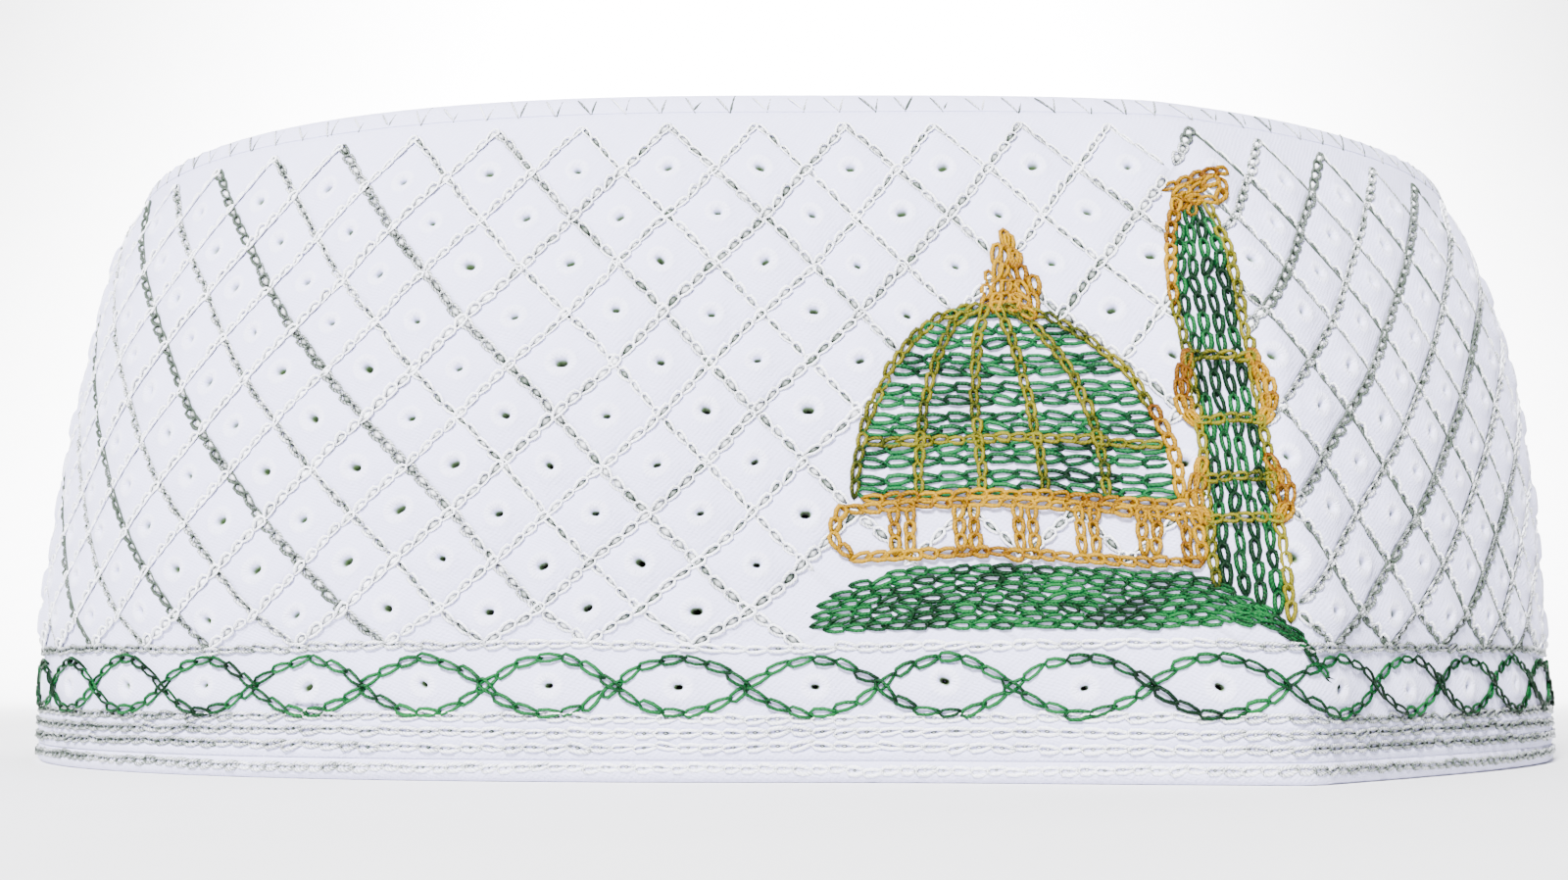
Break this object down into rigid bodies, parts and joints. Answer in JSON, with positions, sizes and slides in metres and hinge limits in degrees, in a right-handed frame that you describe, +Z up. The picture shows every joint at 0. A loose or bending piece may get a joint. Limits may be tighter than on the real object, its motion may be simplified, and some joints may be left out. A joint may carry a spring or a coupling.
{
  "type": "kufi",
  "caption": "Stiff oval prayer cap with an upright quilted and embroidered side, two fold creases, a flat crown and an open head hollow, resting on its rim.",
  "frame": {"origin": "middle of the rim, on the surface that the cap rests on", "axes": "+Z up to the crown, +X along the cap's long axis, to the right in the picture, +Y away from the picture's viewer"},
  "size_m": [0.1956, 0.1684, 0.0728],
  "materials": {
    "band_cotton": "fine white twill, quilted and stiffened",
    "crown_cotton": "fine white twill",
    "hem_cotton": "white twill, gathered along the rim",
    "seam_cotton": "white twill, lapped and stitched"
  },
  "bodies": {
    "root": {"side_band": "band_cotton", "crown_top": "crown_cotton", "rim_hem": "hem_cotton", "side_seam": "seam_cotton"}
  },
  "joints": []
}
